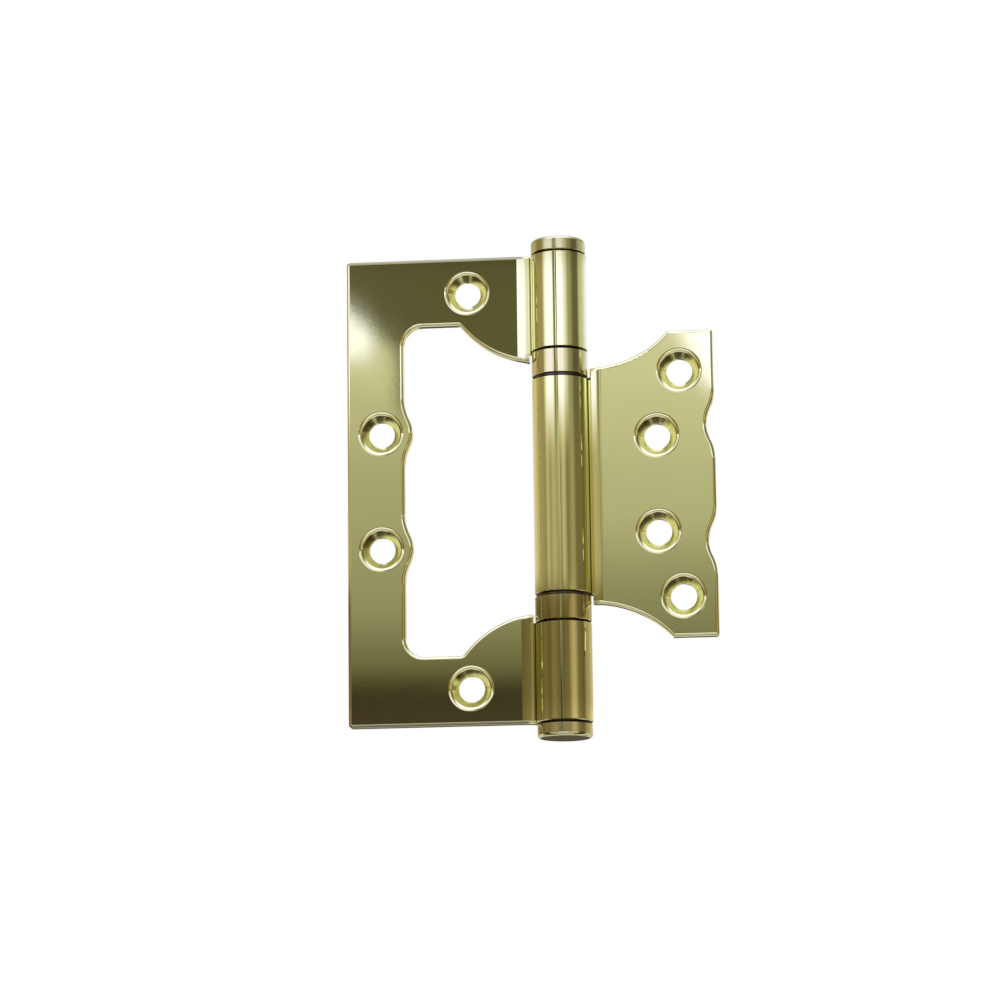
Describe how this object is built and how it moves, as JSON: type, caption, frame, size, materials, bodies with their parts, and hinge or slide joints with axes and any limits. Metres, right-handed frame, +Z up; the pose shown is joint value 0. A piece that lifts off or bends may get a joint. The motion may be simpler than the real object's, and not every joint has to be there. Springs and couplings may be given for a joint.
{
  "type": "flush hinge",
  "caption": "Polished flush hinge opened flat: a C-shaped frame leaf, a smaller door leaf that closes into its cut-out, and a ball-bearing barrel with button caps.",
  "frame": {"origin": "on the back face of the frame leaf, midway between its two spine screw holes", "axes": "+Z up along the pin, +X from the frame leaf to the opened door leaf, +Y out of the back faces; the countersunk faces look along -Y"},
  "size_m": [0.0776, 0.0117, 0.1062],
  "materials": {
    "polished_brass": "polished",
    "pin_steel": "ground",
    "bearing_steel": "polished",
    "cage_plastic": "moulded"
  },
  "bodies": {
    "frame": {"frame_leaf": "polished_brass", "hinge_pin": "pin_steel", "upper_cap": "polished_brass", "lower_cap": "polished_brass", "upper_bearing_shell": "polished_brass", "lower_bearing_shell": "polished_brass", "upper_fixed_race": "bearing_steel", "lower_fixed_race": "bearing_steel"},
    "door": {"door_leaf": "polished_brass", "upper_turning_race": "bearing_steel", "lower_turning_race": "bearing_steel"},
    "upper_ball_ring": {"upper_ball_cage": "cage_plastic", "upper_ball_1": "bearing_steel", "upper_ball_2": "bearing_steel", "upper_ball_3": "bearing_steel", "upper_ball_4": "bearing_steel", "upper_ball_5": "bearing_steel", "upper_ball_6": "bearing_steel", "upper_ball_7": "bearing_steel", "upper_ball_8": "bearing_steel"},
    "lower_ball_ring": {"lower_ball_cage": "cage_plastic", "lower_ball_1": "bearing_steel", "lower_ball_2": "bearing_steel", "lower_ball_3": "bearing_steel", "lower_ball_4": "bearing_steel", "lower_ball_5": "bearing_steel", "lower_ball_6": "bearing_steel", "lower_ball_7": "bearing_steel", "lower_ball_8": "bearing_steel"}
  },
  "joints": [
    {"name": "door_leaf_swing", "type": "hinge", "parent": "frame", "child": "door", "pos_m": [0.03798, -0.00125, 0], "axis": [0, 0, -1], "continuous": true},
    {"name": "upper_ball_ring_orbit", "type": "hinge", "parent": "frame", "child": "upper_ball_ring", "pos_m": [0.03798, -0.00125, 0], "axis": [0, 0, -1], "continuous": true},
    {"name": "lower_ball_ring_orbit", "type": "hinge", "parent": "frame", "child": "lower_ball_ring", "pos_m": [0.03798, -0.00125, 0], "axis": [0, 0, -1], "continuous": true}
  ],
  "couplings": [
    {"joint": "upper_ball_ring_orbit", "follows": "door_leaf_swing", "ratio": 0.5},
    {"joint": "lower_ball_ring_orbit", "follows": "door_leaf_swing", "ratio": 0.5}
  ]
}
